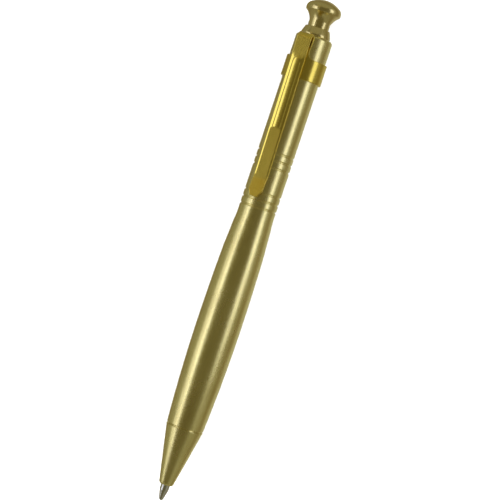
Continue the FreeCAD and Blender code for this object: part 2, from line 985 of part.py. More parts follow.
def is_bead_top(edge, from_x, from_z, drop_deg):
    """Whether an edge lies on the bead's top plane, which is parallel to the strip."""
    normal = FreeCAD.Vector(-math.sin(math.radians(drop_deg)), 0, math.cos(math.radians(drop_deg)))
    start = FreeCAD.Vector(from_x, 0, from_z)
    heights = [(vertex.Point - start) * normal for vertex in edge.Vertexes]
    return all(abs(height - SIZES["rib_bead_height"]) < 1e-4 for height in heights)


# ---------------------------------------------------------------- the pen

make_barrel()
make_thread_bush()
make_nose_cone()
make_collar()
make_guide_sleeve()
make_retaining_ring()
make_cam_rotor()
make_plunger()
make_push_knob()
make_refill_tube()
make_refill_adapter()
make_refill_point()
make_writing_ball()
make_ink_column()
make_refill_crown()
make_return_spring()
make_clip_band()
make_clip_leaf()
doc.recompute()

failed = [o.Label for o in doc.Objects if {"Invalid", "Error"} & set(o.State)]
if failed:
    raise RuntimeError(f"failed objects: {failed}")

pieces = [o for o in doc.Objects if o.TypeId in ("PartDesign::Body", "Part::Sphere", "Part::Cylinder")]
for piece in pieces:
    if piece.Shape.isNull() or not piece.Shape.isValid() or len(piece.Shape.Solids) != 1:
        raise RuntimeError(f"{piece.Label} is not one valid solid")
for piece in pieces:
    piece.Shape.exportStep(f"parts/{piece.Label}.step")
    box = piece.Shape.optimalBoundingBox(False)
    print(f"{piece.Label:16s} {piece.Shape.Volume:9.3f} mm3  x {box.XMin:8.3f} {box.XMax:8.3f}"
          f"  y {box.YMin:7.3f} {box.YMax:7.3f}  z {box.ZMin:7.3f} {box.ZMax:7.3f}")
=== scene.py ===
import json
import math

import bmesh
import bpy
from mathutils import Matrix, Vector


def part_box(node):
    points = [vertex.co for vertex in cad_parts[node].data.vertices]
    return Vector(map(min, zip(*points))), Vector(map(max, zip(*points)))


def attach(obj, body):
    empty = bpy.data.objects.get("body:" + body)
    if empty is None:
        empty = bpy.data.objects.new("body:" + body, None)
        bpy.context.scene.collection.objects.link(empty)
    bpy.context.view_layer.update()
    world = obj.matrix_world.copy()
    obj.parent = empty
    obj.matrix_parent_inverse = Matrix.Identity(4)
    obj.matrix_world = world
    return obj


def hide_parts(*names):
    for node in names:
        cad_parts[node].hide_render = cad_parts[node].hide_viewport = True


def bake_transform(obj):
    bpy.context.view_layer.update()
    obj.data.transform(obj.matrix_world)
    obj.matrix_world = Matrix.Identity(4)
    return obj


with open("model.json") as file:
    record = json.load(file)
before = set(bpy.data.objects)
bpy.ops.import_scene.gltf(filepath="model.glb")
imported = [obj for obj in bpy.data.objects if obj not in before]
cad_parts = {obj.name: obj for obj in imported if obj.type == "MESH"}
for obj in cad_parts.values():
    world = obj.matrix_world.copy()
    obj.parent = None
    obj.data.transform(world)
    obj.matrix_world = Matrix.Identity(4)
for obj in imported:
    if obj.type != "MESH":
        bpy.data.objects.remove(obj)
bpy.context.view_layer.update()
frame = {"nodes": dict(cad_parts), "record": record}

MM = 0.001
NODES = frame["nodes"]

# Stations are millimetres along the pen from the end of the writing ball; heights and
# widths are millimetres from the pen's axis.
BALL_END_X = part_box("writing_ball")[0].x


def place(station, y=0.0, height=0.0):
    """A point of the pen in the frame's metres."""
    return Vector((BALL_END_X + station * MM, y * MM, height * MM))


def span(node):
    """The first and last station of a CAD node, and its greatest half-width."""
    low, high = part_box(node)
    return (low.x - BALL_END_X) / MM, (high.x - BALL_END_X) / MM, high.y / MM


BARREL_FRONT, BARREL_REAR, BELLY_RADIUS = span("barrel")
CONE_FRONT, CONE_REAR, SEAM_RADIUS = span("nose_cone")
COLLAR_FRONT, COLLAR_REAR, COLLAR_RADIUS = span("collar")
KNOB_FRONT, KNOB_REAR, _ = span("push_knob")
POINT_FRONT, POINT_REAR, POINT_RADIUS = span("refill_point")
TUBE_FRONT, TUBE_REAR, TUBE_RADIUS = span("refill_tube")
ADAPTER_FRONT, ADAPTER_REAR, ADAPTER_PLUG_RADIUS = span("refill_adapter")
BUSH_FRONT, BUSH_REAR, BUSH_RADIUS = span("thread_bush")
BAND_FRONT, _, BAND_RADIUS = span("clip_band")
BARREL_RADIUS = 4.8
SEAM_GAP = 0.17
SEAM_DEPTH = 0.52
SEAM_STEP = 0.04
SEAM_EDGE_LENGTH, SEAM_EDGE_DEPTH = 0.08, 0.06

# ---------------------------------------------------------------- mesh helpers


def mesh_object(name, points, faces, sharp_deg=40.0):
    """A mesh from stations, widths and heights, smooth except over sharp edges."""
    mesh = bpy.data.meshes.new(name)
    mesh.from_pydata([place(*p) for p in points], [], faces)
    work = bmesh.new()
    work.from_mesh(mesh)
    bmesh.ops.recalc_face_normals(work, faces=work.faces)
    work.to_mesh(mesh)
    work.free()
    mesh.shade_smooth()
    mesh.set_sharp_from_angle(angle=math.radians(sharp_deg))
    piece = bpy.data.objects.new(name, mesh)
    bpy.context.scene.collection.objects.link(piece)
    return piece


def arc_between(a, b, bend, count):
    """Points of an arc after a and before b. It bows to the left of a -> b if bend > 0."""
    ax, ay, bx, by = *a, *b
    length = math.hypot(bx - ax, by - ay)
    left = (-(by - ay) / length, (bx - ax) / length)
    away = math.sqrt(bend * bend - length * length / 4) * math.copysign(1.0, bend)
    cx = (ax + bx) / 2 - left[0] * away
    cy = (ay + by) / 2 - left[1] * away
    start = math.atan2(ay - cy, ax - cx)
    sweep = (math.atan2(by - cy, bx - cx) - start + math.pi) % (2 * math.pi) - math.pi
    angles = [start + sweep * k / count for k in range(1, count)]
    return [(cx + abs(bend) * math.cos(t), cy + abs(bend) * math.sin(t)) for t in angles]


def rounded(corner, before, after, cut, count=5):
    """The corner replaced by a curve that starts and ends a distance cut away from it."""
    most = 0.48
    c, p, q = Vector(corner), Vector(before), Vector(after)
    start = c + (p - c).normalized() * min(cut, (p - c).length * most)
    end = c + (q - c).normalized() * min(cut, (q - c).length * most)
    steps = [k / count for k in range(count + 1)]
    return [tuple(start * (1 - t) ** 2 + c * 2 * t * (1 - t) + end * t * t) for t in steps]


def outline(corners):
    """A closed profile of (station, radius) points from corners that may carry a rounding
    ("r", size) at the corner, or an arc ("arc", radius), with its number of steps ("n", count),
    or evenly spaced rows ("rows", step) to the next corner."""
    result = []
    for k, corner in enumerate(corners):
        here = corner[:2]
        following = corners[(k + 1) % len(corners)][:2]
        options = dict(zip(corner[2::2], corner[3::2]))
        if "r" in options:
            result += rounded(here, corners[k - 1][:2], following, options["r"])
        else:
            result.append(here)
        if "arc" in options:
            result += arc_between(here, following, options["arc"], options.get("n", 24))
        if "rows" in options:
            count = max(1, round(math.dist(here, following) / options["rows"]))
            for n in range(1, count):
                t = n / count
                result.append(tuple(here[i] + (following[i] - here[i]) * t for i in (0, 1)))
    return result


def lathe(name, profile, turns=160, relief=None, sharp_deg=40.0):
    """A closed profile turned about the pen's axis. relief adds to the radius at (station,
    radius, angle)."""
    points, rings, faces = [], [], []
    for station, radius in profile:
        if radius < 1e-6:
            rings.append([len(points)] * turns)
            points.append((station, 0.0, 0.0))
            continue
        rings.append(list(range(len(points), len(points) + turns)))
        for k in range(turns):
            angle = 2 * math.pi * k / turns
            r = radius + (relief(station, radius, angle) if relief else 0.0)
            points.append((station, r * math.sin(angle), r * math.cos(angle)))
    for here, following in zip(rings, rings[1:] + rings[:1]):
        for k in range(turns):
            n = (k + 1) % turns
            corners = [here[k], here[n], following[n], following[k]]
            face = [v for i, v in enumerate(corners) if v not in corners[:i]]
            if len(face) > 2:
                faces.append(face)
    return mesh_object(name, points, faces, sharp_deg)


def groove(centre):
    """A shallow groove in the barrel, with a rounded floor and softened edges."""
    half = GROOVE_WIDTH / 2
    floor_half = half * GROOVE_FLOOR_SHARE
    run = half + GROOVE_LEAD
    brink = BARREL_RADIUS - GROOVE_BRINK
    floor = BARREL_RADIUS - GROOVE_DEPTH
    return [
        (centre - run, BARREL_RADIUS, "r", 0.05),
        (centre - half, brink, "r", 0.05),
        (centre - floor_half, floor, "r", 0.09),
        (centre + floor_half, floor, "r", 0.09),
        (centre + half, brink, "r", 0.05),
        (centre + run, BARREL_RADIUS, "r", 0.05),
    ]


# ---------------------------------------------------------------- turned pieces

GROOVE_PITCH = 1.88
GROOVE_WIDTH = 0.5
GROOVE_DEPTH = 0.22
GROOVE_LEAD = 0.07
GROOVE_BRINK = 0.03
GROOVE_FLOOR_SHARE = 0.55
GROOVES_IN_GROUP = 3
GROUP_FRONTS = (79.45, 90.1)
GROOVE_STATIONS = [front + k * GROOVE_PITCH for front in GROUP_FRONTS for k in range(GROOVES_IN_GROUP)]
THREAD_PITCH = 0.75
THREAD_DEPTH = 0.2
THREAD_RUNOUT = 0.4
CUT, STANDING = -1, 1
THREAD_RADIUS = {CUT: 3.65, STANDING: 3.7}
SPIGOT_BORE = 3.15
SPIGOT_REAR_EDGE = 0.25
THREAD_START = BARREL_FRONT + 1.1
BUSH_THREAD_RUNOUT = 0.3


def thread(first, last, side):
    """A helical thread between two stations, CUT into the surface or STANDING on it."""

    def relief(station, radius, angle):
        if not first <= station <= last or abs(radius - THREAD_RADIUS[side]) > 1e-3:
            return 0.0
        turn = (station / THREAD_PITCH - angle / (2 * math.pi)) % 1.0
        runout = min(1.0, (station - first) / THREAD_RUNOUT, (last - station) / THREAD_RUNOUT)
        return side * THREAD_DEPTH * (1 - abs(2 * turn - 1)) * runout

    return relief


def arc_radius(run, rise):
    """The radius of an arc that leaves a lengthwise tangent and rises by rise over run."""
    return (run ** 2 + rise ** 2) / (2 * rise)


def make_barrel():
    """The barrel: a belly of two arcs, a flare down to the straight part, and the grooves."""
    belly_station = 47.3
    flare_front, flare_radius, flare_arc = 68.0, 5.41, 60.0
    slope_front, slope_front_radius = 69.4, 5.31
    slope_rear, slope_rear_radius, run_in_arc = 74.9, 4.98, -24.0
    straight_front = 78.75
    rear_edge = 0.55
    lip_front, lip_bore = 123.5, 3.3
    bore = 3.9
    seat_bore, seat_rear = 4.2, 27.6
    front_arc = arc_radius(belly_station - BARREL_FRONT, BELLY_RADIUS - SEAM_RADIUS)
    rear_arc = arc_radius(flare_front - belly_station, BELLY_RADIUS - flare_radius)
    corners = [
        (BARREL_FRONT, seat_bore, "r", 0.1),
        (BARREL_FRONT, SEAM_RADIUS - SEAM_DEPTH - SEAM_STEP),
        (BARREL_FRONT + SEAM_GAP, SEAM_RADIUS - SEAM_DEPTH),
        (BARREL_FRONT + SEAM_GAP, SEAM_RADIUS - SEAM_EDGE_DEPTH, "r", 0.05),
        (BARREL_FRONT + SEAM_GAP + SEAM_EDGE_LENGTH, SEAM_RADIUS, "arc", front_arc, "n", 60),
        (belly_station, BELLY_RADIUS, "arc", rear_arc, "n", 40),
        (flare_front, flare_radius, "arc", flare_arc, "n", 4),
        (slope_front, slope_front_radius, "rows", 0.7),
        (slope_rear, slope_rear_radius, "arc", run_in_arc, "n", 8),
        (straight_front, BARREL_RADIUS),
    ]
    for centre in GROOVE_STATIONS:
        corners += groove(centre)
    corners += [
        (112.0, BARREL_RADIUS),
        (BARREL_REAR - rear_edge, BARREL_RADIUS, "r", 0.25),
        (BARREL_REAR, BARREL_RADIUS - rear_edge, "r", 0.25),
        (BARREL_REAR, lip_bore, "r", 0.1),
        (lip_front, lip_bore),
        (lip_front, bore),
        (seat_rear, bore),
        (seat_rear, seat_bore),
    ]
    return lathe("barrel_tube", outline(corners), turns=224, sharp_deg=30.0)


def make_nose_cone():
    """The nose cone: a rounded mouth, the cone, and the threaded spigot inside the barrel."""
    mouth_bore = 1.25
    mouth_radius, mouth_arc = 1.575, 0.75
    mouth_length, cone_radius = 0.56, 1.96
    undercut = 3.45
    spring_seat, spring_bore = 10.0, 2.35
    bore_taper_front, bore_taper_rear = 14.4, 15.2
    thread_rear = CONE_REAR - SPIGOT_REAR_EDGE
    corners = [
        (CONE_FRONT, mouth_bore, "r", 0.08),
        (CONE_FRONT, mouth_radius, "arc", mouth_arc, "n", 10),
        (CONE_FRONT + mouth_length, cone_radius, "r", 0.06),
        (BARREL_FRONT - SEAM_GAP - SEAM_EDGE_LENGTH, SEAM_RADIUS, "r", 0.05),
        (BARREL_FRONT - SEAM_GAP, SEAM_RADIUS - SEAM_EDGE_DEPTH, "r", 0.05),
        (BARREL_FRONT - SEAM_GAP, SEAM_RADIUS - SEAM_DEPTH),
        (BARREL_FRONT, SEAM_RADIUS - SEAM_DEPTH - SEAM_STEP),
        (BARREL_FRONT, undercut, "r", 0.1),
        (THREAD_START, undercut, "r", 0.1),
        (THREAD_START, THREAD_RADIUS[CUT], "rows", 0.08),
        (thread_rear, THREAD_RADIUS[CUT]),
        (CONE_REAR, THREAD_RADIUS[CUT] - SPIGOT_REAR_EDGE, "r", 0.06),
        (CONE_REAR, SPIGOT_BORE),
        (bore_taper_rear, SPIGOT_BORE),
        (bore_taper_front, spring_bore),
        (spring_seat, spring_bore),
        (spring_seat, mouth_bore),
    ]
    cut = thread(THREAD_START, thread_rear, CUT)
    return lathe("nose_cone_skin", outline(corners), turns=192, relief=cut, sharp_deg=30.0)


def make_thread_bush():
    """The bush in the barrel's front, with the inside thread."""
    lead = 0.25
    bore = THREAD_RADIUS[STANDING]
    corners = [
        (BUSH_FRONT, bore + lead, "r", 0.05),
        (BUSH_FRONT, BUSH_RADIUS),
        (BUSH_REAR, BUSH_RADIUS),
        (BUSH_REAR, bore, "rows", 0.09),
        (BUSH_FRONT + lead, bore),
    ]
    ridges = thread(BUSH_FRONT + lead, BUSH_REAR - BUSH_THREAD_RUNOUT, STANDING)
    return lathe("thread_bush_ring", outline(corners), turns=128, relief=ridges)


def make_collar():
    """The collar under the knob: a tail in the barrel's lip, a shoulder and a taper."""
    bore = 2.825
    tail_radius, tail_lead = 3.18, 0.25
    shoulder_rear, top_radius = 125.6, 3.25
    corners = [
        (COLLAR_FRONT, bore),
        (COLLAR_FRONT, tail_radius - tail_lead),
        (COLLAR_FRONT + tail_lead, tail_radius),
        (BARREL_REAR, tail_radius),
        (BARREL_REAR, COLLAR_RADIUS, "r", 0.08),
        (shoulder_rear, COLLAR_RADIUS, "r", 0.3),
        (COLLAR_REAR, top_radius, "r", 0.2),
        (COLLAR_REAR, bore, "r", 0.1),
    ]
    return lathe("collar_ring", outline(corners), turns=160, sharp_deg=30.0)


def make_push_knob():
    """The push knob: a stem, a neck that sweeps out to the rim, and a dome."""
    stem_radius, stem_rear, sweep_arc = 2.775, 129.0, -4.2
    rim_front, rim_under_radius, rim_arc = 131.45, 4.48, 1.7
    dome_height, dome_radius = 1.35, 3.975
    socket_radius, socket_rear, socket_point = 1.7, 126.8, 127.4
    corners = [
        (KNOB_FRONT, socket_radius),
        (KNOB_FRONT, stem_radius),
        (stem_rear, stem_radius, "arc", sweep_arc, "n", 20),
        (rim_front, rim_under_radius, "arc", rim_arc, "n", 16),
        (KNOB_REAR - dome_height, dome_radius, "arc", arc_radius(dome_radius, dome_height), "n", 28),
        (KNOB_REAR, 0.0),
        (socket_point, 0.0),
        (socket_rear, socket_radius),
    ]
    return lathe("push_knob_body", outline(corners), turns=160)


def make_refill_point():
    """The writing point: a cone, a shank with a ring groove, a spigot and the bores."""
    lip_bore, lip_radius = 0.465, 0.56
    cone_rear, shank_rear = 2.9, 13.0
    ring_front, ring_rear, ring_slope, ring_depth = 8.6, 9.0, 0.1, 0.06
    spigot_radius, feed_radius = 0.9, 0.35
    seat_length, seat_rear, seat_radius = 0.15, 1.06, 0.515
    corners = [
        (POINT_FRONT, lip_bore),
        (POINT_FRONT, lip_radius, "r", 0.05),
        (cone_rear, POINT_RADIUS, "r", 0.2),
        (ring_front, POINT_RADIUS, "r", 0.04),
        (ring_front + ring_slope, POINT_RADIUS - ring_depth, "r", 0.04),
        (ring_rear - ring_slope, POINT_RADIUS - ring_depth, "r", 0.04),
        (ring_rear, POINT_RADIUS, "r", 0.04),
        (shank_rear, POINT_RADIUS, "r", 0.08),
        (shank_rear, spigot_radius),
        (POINT_REAR, spigot_radius),
        (POINT_REAR, feed_radius),
        (seat_rear, feed_radius),
        (seat_rear, seat_radius),
        (POINT_FRONT + seat_length, seat_radius),
    ]
    return lathe("refill_point_tip", outline(corners), turns=96)


def make_writing_ball():
    """The writing ball, whose front is station zero."""
    radius = 0.5
    count = 40
    angles = [math.pi * k / count for k in range(count + 1)]
    profile = [(radius - radius * math.cos(a), radius * math.sin(a)) for a in angles]
    return lathe("writing_ball_sphere", profile, turns=64)


def make_refill_adapter():
    """The plug between the writing point and the refill's tube."""
    nose_radius, point_bore, feed_bore = 1.7, 0.9, 0.55
    corners = [
        (ADAPTER_FRONT, point_bore),
        (ADAPTER_FRONT, nose_radius, "r", 0.2),
        (TUBE_FRONT, nose_radius),
        (TUBE_FRONT, ADAPTER_PLUG_RADIUS),
        (ADAPTER_REAR, ADAPTER_PLUG_RADIUS),
        (ADAPTER_REAR, feed_bore),
        (POINT_REAR, feed_bore),
        (POINT_REAR, point_bore),
    ]
    return lathe("refill_adapter_turned", outline(corners), turns=128)


def make_refill_tube():
    """The refill's tube, with a rounded front shoulder."""
    bore = 2.55
    shoulder_length, shoulder_drop = 0.4, 0.35
    corners = [
        (TUBE_FRONT, bore),
        (TUBE_FRONT, TUBE_RADIUS - shoulder_drop, "r", 0.2),
        (TUBE_FRONT + shoulder_length, TUBE_RADIUS, "r", 0.2),
        (TUBE_REAR, TUBE_RADIUS, "r", 0.1),
        (TUBE_REAR, bore),
    ]
    return lathe("refill_tube_drawn", outline(corners), turns=128)


def make_return_spring():
    """A coil spring: the wire follows a helix whose pitch closes over one turn at both ends."""
    front, rear, outside = span("return_spring")
    wire = 0.2
    mean = outside - wire
    turns, closed = 9.0, 1.0
    per_turn, around = 48, 12
    smoothing = 6
    count = int(turns * per_turn)
    pitch = (rear - front - 2 * wire - 2 * closed * 2 * wire) / (turns - 2 * closed)

    def rise(k):
        t = min(count, max(0, k)) / count * turns
        ends = min(t, closed) + max(0.0, t - turns + closed)
        return front + wire + ends * 2 * wire + max(0.0, min(t, turns - closed) - closed) * pitch

    centres = []
    for k in range(count + 1):
        angle = 2 * math.pi * k / per_turn
        window = range(k - smoothing, k + smoothing + 1)
        station = sum(rise(n) for n in window) / len(window)
        centres.append(Vector((station, mean * math.sin(angle), mean * math.cos(angle))))
    points, faces = [], []
    for k, centre in enumerate(centres):
        ahead = centres[min(k + 1, count)] - centres[max(k - 1, 0)]
        out = Vector((0.0, centre.y, centre.z)).normalized()
        aside = ahead.cross(out).normalized()
        out = aside.cross(ahead).normalized()
        for j in range(around):
            t = 2 * math.pi * j / around
            points.append(tuple(centre + out * wire * math.cos(t) + aside * wire * math.sin(t)))
    for k in range(count):
        for j in range(around):
            n = (j + 1) % around
            a, b = k * around, (k + 1) * around
            faces.append([a + j, a + n, b + n, b + j])
    faces.append(list(range(around)))
    faces.append(list(range(count * around, (count + 1) * around)))
    return mesh_object("return_spring_coil", points, faces, 60.0)


# ---------------------------------------------------------------- clip

SHEET = 0.5
EDGE = 0.11
INNER = BAND_RADIUS - SHEET
BAND_REAR = 118.9
TONGUE_ROOT_HALF = 3.1
TONGUE_HALF = 1.75
FILLET_LENGTH = 1.7
TONGUE_FLATTENS = 120.4
TONGUE_END = 123.5
FOLD_STATION = 123.62
FOLD_RADIUS = 1.28
FOLD_HEIGHT = INNER + FOLD_RADIUS
LEAF_HALF = 1.85
LEAF_DROP = math.radians(2.9)
BEND_STATION = 87.0
LIP_TIP = 81.8
LIP_RISE = math.radians(10.0)
LIP_CUT = 0.95
LIP_CUT_LENGTH = 1.7
BEAD_FRONT, BEAD_REAR = 99.7, 118.7
BEAD_HALF, BEAD_CROWN_HALF = 1.15, 0.85
BEAD_STEP, BEAD_CROWN = 0.18, 0.08
BEAD_FRONT_RAMP = 0.35
INNER_FACE_SHARE = 0.85
MARGIN_SLOPE = math.tan(math.radians(8.0))
MARGIN_STEP, MARGIN_STEP_REAR = 0.3, BEAD_FRONT + 0.5
MARGIN_REAR, MARGIN_RUNOUT = BEAD_REAR + 1.0, 2.0
BEND_REACH = 1.2
COARSE_ROW, BEAD_REAR_ROW, BEAD_FRONT_ROW = 0.6, 0.12, 0.06
FINE_ROWS_REACH = 0.6
FINE_ROWS_FRONT, FINE_ROWS_REAR = BEAD_REAR - 0.5, BEAD_REAR + 1.4


def smooth_step(t):
    """Eases from 0 to 1 as t does, and holds beyond them."""
    t = min(1.0, max(0.0, t))
    return t * t * (3 - 2 * t)


def bead(station, y):
    """Height of the pressed bead: a step with a crowned top, a round rear end and a square front."""
    beyond = max(0.0, station - BEAD_REAR + BEAD_HALF)
    out = math.hypot(beyond, y)
    step = BEAD_STEP * smooth_step((BEAD_HALF - out) / (BEAD_HALF - BEAD_CROWN_HALF))
    crown = BEAD_CROWN * max(0.0, 1 - (out / BEAD_CROWN_HALF) ** 2)
    return (step + crown) * smooth_step((station - BEAD_FRONT) / BEAD_FRONT_RAMP)


def margin(station, y):
    """How far the leaf's margins roll down, beside the bead and, narrower, ahead of it."""
    crease = BEAD_HALF + MARGIN_STEP * smooth_step(MARGIN_STEP_REAR - station)
    share = smooth_step(station - BEND_STATION) * smooth_step((MARGIN_REAR - station) / MARGIN_RUNOUT)
    return MARGIN_SLOPE * max(0.0, abs(y) - crease) * share


def tongue_rows():
    """The tongue: fillets narrow it behind the band, then it widens to the fold's width."""
    rows = []
    count = 12
    for k in range(1, count + 1):
        t = math.pi / 2 * k / count
        station = BAND_REAR + FILLET_LENGTH - (FILLET_LENGTH + EDGE) * math.cos(t)
        half = TONGUE_ROOT_HALF - (TONGUE_ROOT_HALF - TONGUE_HALF + EDGE) * math.sin(t)
        rows.append(("curved", station, INNER, (0.0, 1.0), half))
    fillet_end = rows[-1][1]
    count = 6
    for k in range(1, count + 1):
        t = k / count
        half = TONGUE_HALF + (LEAF_HALF - TONGUE_HALF) * smooth_step(t) - EDGE
        station = fillet_end + (TONGUE_END - fillet_end) * t
        rows.append(("curved", station, INNER, (0.0, 1.0), half))
    return rows


def fold_rows():
    """The fold: the sheet's face next to the barrel becomes its outside, so the normal points
    into the fold until it comes out on top of the leaf."""
    rows = []
    count = 22
    for k in range(count + 1):
        angle = -math.pi / 2 + (math.pi + LEAF_DROP) * k / count
        out = (math.cos(angle), math.sin(angle))
        station = FOLD_STATION + FOLD_RADIUS * out[0]
        height = FOLD_HEIGHT + FOLD_RADIUS * out[1]
        rows.append(("flat", station, height, (-out[0], -out[1]), LEAF_HALF - EDGE))
    return rows


def row_step(station):
    """The spacing of the leaf's rows: closer at both ends of the bead."""
    if abs(station - BEAD_FRONT) < FINE_ROWS_REACH:
        return BEAD_FRONT_ROW
    if FINE_ROWS_FRONT < station < FINE_ROWS_REAR:
        return BEAD_REAR_ROW
    return COARSE_ROW


def leaf_rows(top_station, top_height):
    """The leaf: from the end of the fold down to the bend, round it, and up the lip to its tip."""
    rows = []
    half = LEAF_HALF - EDGE

    def strip_height(station):
        return top_height - (top_station - station) * math.tan(LEAF_DROP)

    def row(station, height, slope, width):
        rows.append(("leaf", station, height, (-math.sin(slope), -math.cos(slope)), width))

    here = top_station
    while here > BEND_STATION + BEND_REACH:
        here -= row_step(here)
        row(here, strip_height(here), -LEAF_DROP, half)
    bend_height = strip_height(BEND_STATION)
    reach = here - BEND_STATION
    start = (here, strip_height(here))
    end = (BEND_STATION - reach, bend_height + reach * math.tan(LIP_RISE))
    count = 8
    for k in range(1, count + 1):
        t = k / count
        a, b, c = (1 - t) ** 2, 2 * t * (1 - t), t * t
        station = start[0] * a + BEND_STATION * b + end[0] * c
        height = start[1] * a + bend_height * b + end[1] * c
        row(station, height, -LEAF_DROP + (LEAF_DROP + LIP_RISE) * t, half)
    corner = LIP_TIP + LIP_CUT_LENGTH
    for target, count in ((corner, 5), (LIP_TIP + EDGE, 8)):
        begin = rows[-1][1]
        for k in range(1, count + 1):
            station = begin + (target - begin) * k / count
            height = bend_height + (BEND_STATION - station) * math.tan(LIP_RISE)
            shrink = max(0.0, (corner - station) / LIP_CUT_LENGTH) * LIP_CUT
            row(station, height, LIP_RISE, half - shrink)
    return rows


def path_rows():
    """Rows of the sheet from the band's rear edge to the lip's tip. Each is (kind, station,
    height of the face that starts next to the barrel, normal, half-width)."""
    rows = tongue_rows() + fold_rows()
    return rows + leaf_rows(rows[-1][1], rows[-1][2])


def sheet_point(row, v, depth):
    """A point of the sheet: v across, from -1 to 1, and depth 0 on the barrel's side of the
    tongue to 1 on its far side."""
    kind, station, height, normal, half = row
    y = v * half
    t = depth * SHEET
    if kind == "curved":
        flat = smooth_step((station - TONGUE_FLATTENS) / (TONGUE_END - TONGUE_FLATTENS))
        r = INNER + t
        sine = y / BAND_RADIUS
        curved_y, curved_h = r * sine, r * math.sqrt(1 - sine * sine)
        return Vector((station, curved_y + (y - curved_y) * flat, curved_h + (r - curved_h) * flat))
    point = Vector((station + normal[0] * t, y, height + normal[1] * t))
    if kind == "leaf":
        lift = bead(station, y) - margin(station, y)
        share = 1.0 if depth < 0.5 else INNER_FACE_SHARE
        point += Vector((-normal[0], 0.0, -normal[1])) * lift * share
    return point


def sheet_edge(points, loop):
    """Faces of the rounded edge along a loop of (edge column, column inside it). Column k of the
    sheet is the points 2k, on its low face, and 2k + 1. New points are added to points."""
    steps = 5
    arcs = [math.pi / 2 * k / steps for k in range(1, steps + 1)]
    section = [(EDGE * math.sin(a), 1 - EDGE * (1 - math.cos(a)) / SHEET) for a in arcs]
    section += [(EDGE * math.sin(a), EDGE * (1 - math.cos(a)) / SHEET) for a in reversed(arcs)]
    lines = []
    for k, (here, inside) in enumerate(loop):
        low, high = points[2 * here], points[2 * here + 1]
        before = points[2 * loop[k - 1][0]]
        after = points[2 * loop[(k + 1) % len(loop)][0]]
        normal = (high - low).normalized()
        outward = (after - before).cross(normal).normalized()
        if outward.dot(low - points[2 * inside]) < 0:
            outward = -outward
        line = [2 * here + 1]
        for out, share in section:
            line.append(len(points))
            points.append(low.lerp(high, share) + outward * out)
        line.append(2 * here)
        lines.append(line)
    faces = []
    for line, following in zip(lines, lines[1:] + lines[:1]):
        for j in range(len(line) - 1):
            faces.append([line[j], line[j + 1], following[j + 1], following[j]])
    return faces


def make_clip():
    """The one-piece clip: the band's ring, and the strip that leaves its rear edge."""
    across, around, band_rows = 72, 120, 8
    points, quads = [], []

    def add(low, high):
        points.append(low)
        points.append(high)
        return len(points) // 2 - 1

    # the ring's columns: those under the tongue first, then round the back
    root_angle = math.asin(TONGUE_ROOT_HALF / BAND_RADIUS)
    shares = [2 * j / across - 1 for j in range(across + 1)]
    angles = [math.asin(share * TONGUE_ROOT_HALF / BAND_RADIUS) for share in shares]
    rest = 2 * math.pi - 2 * root_angle
    angles += [root_angle + rest * k / around for k in range(1, around)]
    width = BAND_REAR - BAND_FRONT - 2 * EDGE
    ring = []
    for k in range(band_rows + 1):
        station = BAND_FRONT + EDGE + width * k / band_rows
        line = []
        for angle in angles:
            y, height = math.sin(angle), math.cos(angle)
            ends = [Vector((station, r * y, r * height)) for r in (INNER, BAND_RADIUS)]
            line.append(add(*ends))
        ring.append(line)
    for low, high in zip(ring, ring[1:]):
        for j in range(len(angles)):
            n = (j + 1) % len(angles)
            quads.append((low[j], low[n], high[n], high[j]))
    strip = [ring[-1][: across + 1]]
    for row in path_rows():
        strip.append([add(sheet_point(row, v, 0.0), sheet_point(row, v, 1.0)) for v in shares])
    for low, high in zip(strip, strip[1:]):
        for j in range(across):
            quads.append((low[j], low[j + 1], high[j + 1], high[j]))
    faces = []
    for quad in quads:
        faces.append([2 * v for v in quad])
        faces.append([2 * v + 1 for v in reversed(quad)])

    front_loop = [(ring[0][j], ring[1][j]) for j in range(len(angles))]
    rear_loop = [(ring[-1][j], ring[-2][j]) for j in range(across + 1, len(angles))]
    rear_loop += [(line[0], line[1]) for line in strip[:-1]]
    rear_loop += [(strip[-1][j], strip[-2][j]) for j in range(across + 1)]
    rear_loop += [(line[-1], line[-2]) for line in reversed(strip[:-1])]
    for loop in (front_loop, rear_loop):
        faces += sheet_edge(points, loop)
    return mesh_object("clip_sheet", points, faces, 50.0)


# ---------------------------------------------------------------- materials


